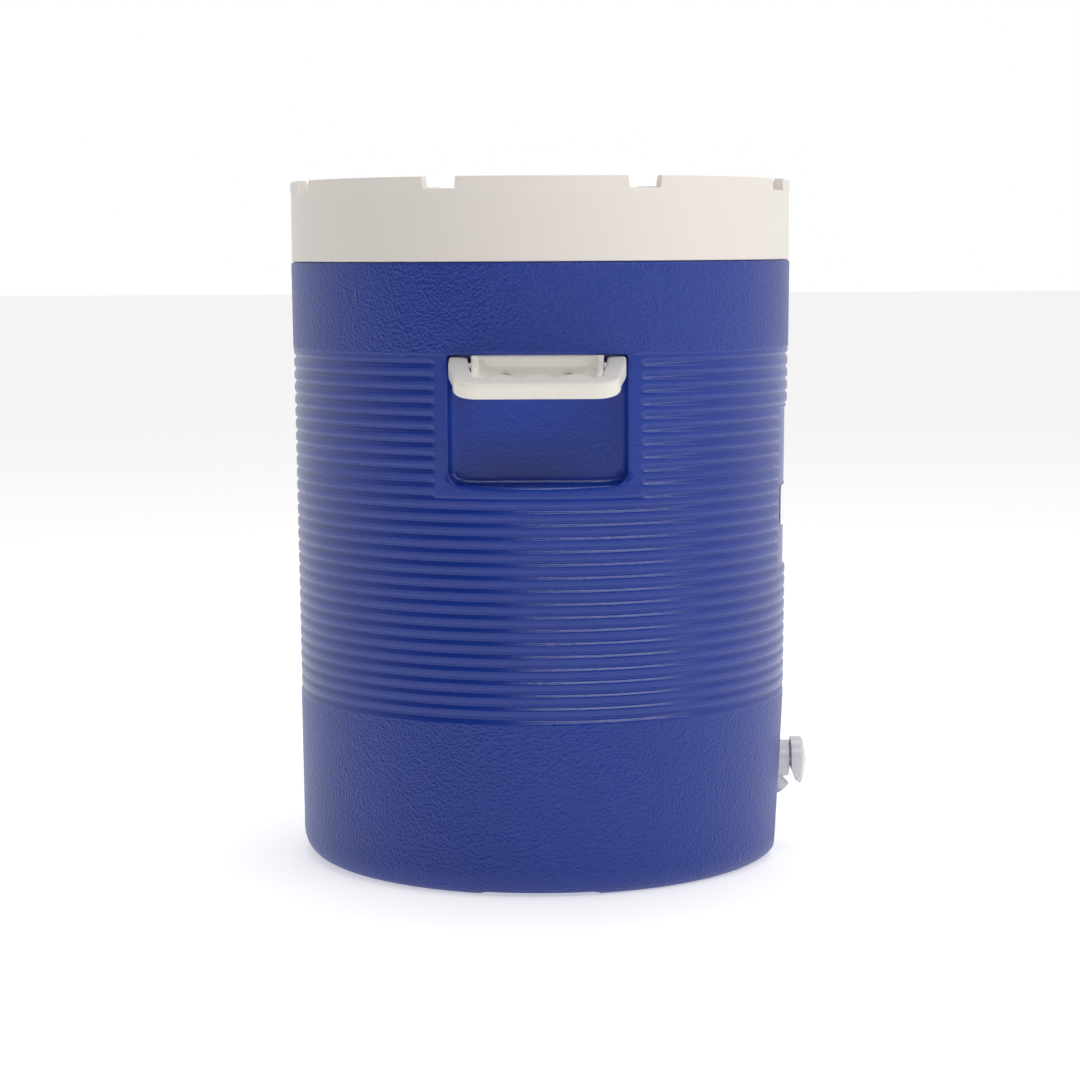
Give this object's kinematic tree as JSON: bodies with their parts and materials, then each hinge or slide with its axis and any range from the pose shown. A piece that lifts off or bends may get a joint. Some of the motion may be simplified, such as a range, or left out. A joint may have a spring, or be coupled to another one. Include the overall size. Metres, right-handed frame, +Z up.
{
  "type": "insulated drink cooler",
  "caption": "Round insulated drink cooler with a screw lid notched for grip, a swing handle in a recess on each side and a push-button tap low on the front.",
  "frame": {"origin": "middle of the foot ring, on the floor it stands on", "axes": "+Z up the body to the lid, +X out of the front where the tap is, +Y to the left handle"},
  "size_m": [0.4408, 0.5164, 0.5728],
  "materials": {
    "shell": "satin",
    "lid": "satin",
    "handle": "satin",
    "liner": "satin",
    "tap": "satin",
    "label": "satin",
    "foam": "matte",
    "rubber": "matte",
    "steel": "satin"
  },
  "bodies": {
    "cooler_body": {"outer_shell": "shell", "foam_plug": "shell", "insulation_foam": "foam", "inner_liner": "liner", "blank_label": "label", "right_handle_bracket": "handle", "right_handle_pin_a": "steel", "right_handle_pin_b": "steel", "right_bracket_screw_a": "steel", "right_bracket_screw_b": "steel", "left_handle_bracket": "handle", "left_handle_pin_a": "steel", "left_handle_pin_b": "steel", "left_bracket_screw_a": "steel", "left_bracket_screw_b": "steel", "tap_body": "tap", "tap_outer_washer": "rubber", "tap_inner_washer": "rubber", "tap_lock_nut": "tap", "tap_bonnet": "tap", "tap_spring": "steel"},
    "lid_seal": {"lid_gasket": "rubber"},
    "lid": {"lid_shell": "lid", "lid_foam": "foam", "lid_liner": "liner"},
    "right_handle": {"right_handle": "handle"},
    "left_handle": {"left_handle": "handle"},
    "tap_plunger": {"tap_button": "tap", "tap_stem": "tap", "tap_seal": "rubber"}
  },
  "joints": [
    {"name": "lid_lift", "type": "slide", "parent": "cooler_body", "child": "lid_seal", "axis": [0, 0, 1], "range_m": [0, 0.045]},
    {"name": "lid_turn", "type": "hinge", "parent": "lid_seal", "child": "lid", "pos_m": [0, 0, 0.5], "axis": [0, 0, 1], "range_deg": [0, 540]},
    {"name": "right_handle_swing", "type": "hinge", "parent": "cooler_body", "child": "right_handle", "pos_m": [0, -0.198, 0.4255], "axis": [1, 0, 0], "range_deg": [-20, 72.7]},
    {"name": "left_handle_swing", "type": "hinge", "parent": "cooler_body", "child": "left_handle", "pos_m": [0, 0.198, 0.4255], "axis": [-1, 0, 0], "range_deg": [-20, 72.7]},
    {"name": "tap_press", "type": "slide", "parent": "cooler_body", "child": "tap_plunger", "axis": [-1, 0, 0], "range_m": [0, 0.005], "stiffness_N_per_m": 600, "springref_m": -0.006, "deforming": ["tap_spring"]}
  ],
  "couplings": [
    {"joint": "lid_lift", "follows": "lid_turn", "m_per_rad": 0.0047747}
  ]
}
